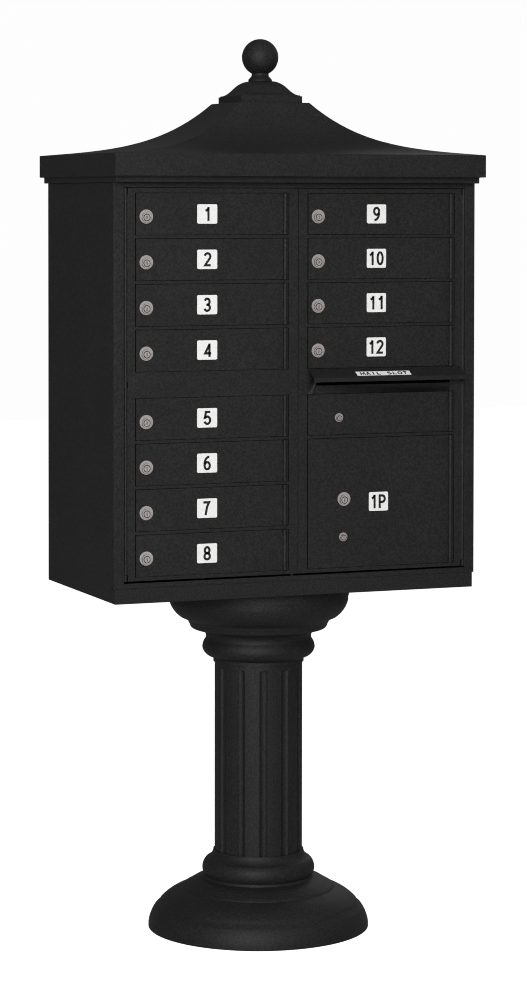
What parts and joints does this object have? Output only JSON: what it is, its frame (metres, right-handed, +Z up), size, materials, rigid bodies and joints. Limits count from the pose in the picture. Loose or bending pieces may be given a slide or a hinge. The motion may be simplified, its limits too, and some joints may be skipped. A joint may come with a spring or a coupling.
{
  "type": "cluster mailbox unit",
  "caption": "Pedestal cluster mailbox: cabinet with locked compartment doors, mail slot and parcel locker in swinging master doors, curved roof with ball finial, fluted column.",
  "frame": {"origin": "on the floor, in the middle of the four anchor holes, under the column's axis", "axes": "+Z up, -Y out of the front with the doors, +X to the right of someone facing the doors"},
  "size_m": [0.791, 0.483, 1.8219],
  "materials": {
    "black_powder_coat": "satin fine-texture powder coat",
    "lock_nickel": "satin nickel",
    "label_white": "smooth",
    "zinc_steel": "zinc plated",
    "bare_aluminium": "mill"
  },
  "bodies": {
    "cabinet": {"pedestal_base_plate": "zinc_steel", "pedestal_post": "zinc_steel", "pedestal_top_plate": "zinc_steel", "cabinet_bolts": "zinc_steel", "fluted_column": "black_powder_coat", "column_capital": "black_powder_coat", "column_base_cover": "black_powder_coat", "cover_screws": "zinc_steel", "floor_pan": "black_powder_coat", "left_side_panel": "black_powder_coat", "right_side_panel": "black_powder_coat", "back_panel": "black_powder_coat", "cabinet_top": "black_powder_coat", "face_frame": "black_powder_coat", "left_shelves": "bare_aluminium", "right_shelves": "bare_aluminium", "centre_divider": "bare_aluminium", "roof_fascia": "black_powder_coat", "roof_screws": "zinc_steel", "roof_shell": "black_powder_coat", "finial_cap": "black_powder_coat", "finial_ball": "black_powder_coat", "left_master_hinge": "black_powder_coat", "right_master_hinge": "black_powder_coat"},
    "left_master_door": {"left_master_frame": "black_powder_coat", "left_door_hinges": "black_powder_coat"},
    "right_master_door": {"right_master_frame": "black_powder_coat", "right_door_hinges": "black_powder_coat", "mail_slot_hood": "black_powder_coat", "mail_slot_label": "label_white"},
    "master_latch": {"master_latch": "zinc_steel"},
    "door_01": {"door_01": "black_powder_coat"},
    "door_02": {"door_02": "black_powder_coat"},
    "door_03": {"door_03": "black_powder_coat"},
    "door_04": {"door_04": "black_powder_coat"},
    "door_05": {"door_05": "black_powder_coat"},
    "door_06": {"door_06": "black_powder_coat"},
    "door_07": {"door_07": "black_powder_coat"},
    "door_08": {"door_08": "black_powder_coat"},
    "door_09": {"door_09": "black_powder_coat"},
    "door_10": {"door_10": "black_powder_coat"},
    "door_11": {"door_11": "black_powder_coat"},
    "door_12": {"door_12": "black_powder_coat"},
    "outgoing_door": {"outgoing_door": "black_powder_coat"},
    "parcel_door": {"parcel_door": "black_powder_coat"},
    "lock_01": {"lock_01": "lock_nickel"},
    "lock_02": {"lock_02": "lock_nickel"},
    "lock_03": {"lock_03": "lock_nickel"},
    "lock_04": {"lock_04": "lock_nickel"},
    "lock_05": {"lock_05": "lock_nickel"},
    "lock_06": {"lock_06": "lock_nickel"},
    "lock_07": {"lock_07": "lock_nickel"},
    "lock_08": {"lock_08": "lock_nickel"},
    "lock_09": {"lock_09": "lock_nickel"},
    "lock_10": {"lock_10": "lock_nickel"},
    "lock_11": {"lock_11": "lock_nickel"},
    "lock_12": {"lock_12": "lock_nickel"},
    "outgoing_lock": {"outgoing_lock": "lock_nickel"},
    "parcel_lock": {"parcel_lock": "lock_nickel"},
    "parcel_carrier_lock": {"parcel_carrier_lock": "lock_nickel"}
  },
  "joints": [
    {"name": "left_master_swing", "type": "hinge", "parent": "cabinet", "child": "left_master_door", "pos_m": [-0.3625, -0.2105, 1.133], "axis": [0, 0, -1], "range_deg": [0, 100]},
    {"name": "right_master_swing", "type": "hinge", "parent": "cabinet", "child": "right_master_door", "pos_m": [0.3625, -0.2105, 1.133], "axis": [0, 0, 1], "range_deg": [0, 100]},
    {"name": "master_latch_lift", "type": "slide", "parent": "cabinet", "child": "master_latch", "axis": [0, 0, 1], "range_m": [0, 0.008]},
    {"name": "door_01_swing", "type": "hinge", "parent": "left_master_door", "child": "door_01", "pos_m": [-0.0286, -0.212, 1.4655], "axis": [0, 0, 1], "range_deg": [0, 100]},
    {"name": "door_02_swing", "type": "hinge", "parent": "left_master_door", "child": "door_02", "pos_m": [-0.0286, -0.212, 1.3766], "axis": [0, 0, 1], "range_deg": [0, 100]},
    {"name": "door_03_swing", "type": "hinge", "parent": "left_master_door", "child": "door_03", "pos_m": [-0.0286, -0.212, 1.2877], "axis": [0, 0, 1], "range_deg": [0, 100]},
    {"name": "door_04_swing", "type": "hinge", "parent": "left_master_door", "child": "door_04", "pos_m": [-0.0286, -0.212, 1.1988], "axis": [0, 0, 1], "range_deg": [0, 100]},
    {"name": "door_05_swing", "type": "hinge", "parent": "left_master_door", "child": "door_05", "pos_m": [-0.0286, -0.212, 1.0655], "axis": [0, 0, 1], "range_deg": [0, 100]},
    {"name": "door_06_swing", "type": "hinge", "parent": "left_master_door", "child": "door_06", "pos_m": [-0.0286, -0.212, 0.9766], "axis": [0, 0, 1], "range_deg": [0, 100]},
    {"name": "door_07_swing", "type": "hinge", "parent": "left_master_door", "child": "door_07", "pos_m": [-0.0286, -0.212, 0.8877], "axis": [0, 0, 1], "range_deg": [0, 100]},
    {"name": "door_08_swing", "type": "hinge", "parent": "left_master_door", "child": "door_08", "pos_m": [-0.0286, -0.212, 0.7988], "axis": [0, 0, 1], "range_deg": [0, 100]},
    {"name": "door_09_swing", "type": "hinge", "parent": "right_master_door", "child": "door_09", "pos_m": [0.3342, -0.212, 1.4655], "axis": [0, 0, 1], "range_deg": [0, 100]},
    {"name": "door_10_swing", "type": "hinge", "parent": "right_master_door", "child": "door_10", "pos_m": [0.3342, -0.212, 1.3766], "axis": [0, 0, 1], "range_deg": [0, 100]},
    {"name": "door_11_swing", "type": "hinge", "parent": "right_master_door", "child": "door_11", "pos_m": [0.3342, -0.212, 1.2877], "axis": [0, 0, 1], "range_deg": [0, 100]},
    {"name": "door_12_swing", "type": "hinge", "parent": "right_master_door", "child": "door_12", "pos_m": [0.3342, -0.212, 1.1988], "axis": [0, 0, 1], "range_deg": [0, 100]},
    {"name": "outgoing_door_swing", "type": "hinge", "parent": "right_master_door", "child": "outgoing_door", "pos_m": [0.3342, -0.212, 1.0655], "axis": [0, 0, 1], "range_deg": [0, 100]},
    {"name": "parcel_door_swing", "type": "hinge", "parent": "right_master_door", "child": "parcel_door", "pos_m": [0.3342, -0.212, 0.88775], "axis": [0, 0, 1], "range_deg": [0, 100]},
    {"name": "lock_01_turn", "type": "hinge", "parent": "door_01", "child": "lock_01", "pos_m": [-0.3205, -0.2115, 1.4587], "axis": [0, -1, 0], "range_deg": [0, 90]},
    {"name": "lock_02_turn", "type": "hinge", "parent": "door_02", "child": "lock_02", "pos_m": [-0.3205, -0.2115, 1.3698], "axis": [0, -1, 0], "range_deg": [0, 90]},
    {"name": "lock_03_turn", "type": "hinge", "parent": "door_03", "child": "lock_03", "pos_m": [-0.3205, -0.2115, 1.2809], "axis": [0, -1, 0], "range_deg": [0, 90]},
    {"name": "lock_04_turn", "type": "hinge", "parent": "door_04", "child": "lock_04", "pos_m": [-0.3205, -0.2115, 1.192], "axis": [0, -1, 0], "range_deg": [0, 90]},
    {"name": "lock_05_turn", "type": "hinge", "parent": "door_05", "child": "lock_05", "pos_m": [-0.3205, -0.2115, 1.0587], "axis": [0, -1, 0], "range_deg": [0, 90]},
    {"name": "lock_06_turn", "type": "hinge", "parent": "door_06", "child": "lock_06", "pos_m": [-0.3205, -0.2115, 0.9698], "axis": [0, -1, 0], "range_deg": [0, 90]},
    {"name": "lock_07_turn", "type": "hinge", "parent": "door_07", "child": "lock_07", "pos_m": [-0.3205, -0.2115, 0.8809], "axis": [0, -1, 0], "range_deg": [0, 90]},
    {"name": "lock_08_turn", "type": "hinge", "parent": "door_08", "child": "lock_08", "pos_m": [-0.3205, -0.2115, 0.792], "axis": [0, -1, 0], "range_deg": [0, 90]},
    {"name": "lock_09_turn", "type": "hinge", "parent": "door_09", "child": "lock_09", "pos_m": [0.0423, -0.2115, 1.4587], "axis": [0, -1, 0], "range_deg": [0, 90]},
    {"name": "lock_10_turn", "type": "hinge", "parent": "door_10", "child": "lock_10", "pos_m": [0.0423, -0.2115, 1.3698], "axis": [0, -1, 0], "range_deg": [0, 90]},
    {"name": "lock_11_turn", "type": "hinge", "parent": "door_11", "child": "lock_11", "pos_m": [0.0423, -0.2115, 1.2809], "axis": [0, -1, 0], "range_deg": [0, 90]},
    {"name": "lock_12_turn", "type": "hinge", "parent": "door_12", "child": "lock_12", "pos_m": [0.0423, -0.2115, 1.192], "axis": [0, -1, 0], "range_deg": [0, 90]},
    {"name": "outgoing_lock_turn", "type": "hinge", "parent": "outgoing_door", "child": "outgoing_lock", "pos_m": [0.088, -0.2115, 1.0576], "axis": [0, -1, 0], "range_deg": [0, 90]},
    {"name": "parcel_lock_turn", "type": "hinge", "parent": "parcel_door", "child": "parcel_lock", "pos_m": [0.099, -0.2115, 0.8935], "axis": [0, -1, 0], "range_deg": [0, 90]},
    {"name": "parcel_carrier_lock_turn", "type": "hinge", "parent": "parcel_door", "child": "parcel_carrier_lock", "pos_m": [0.0975, -0.2115, 0.8182], "axis": [0, 1, 0], "range_deg": [0, 90]}
  ]
}
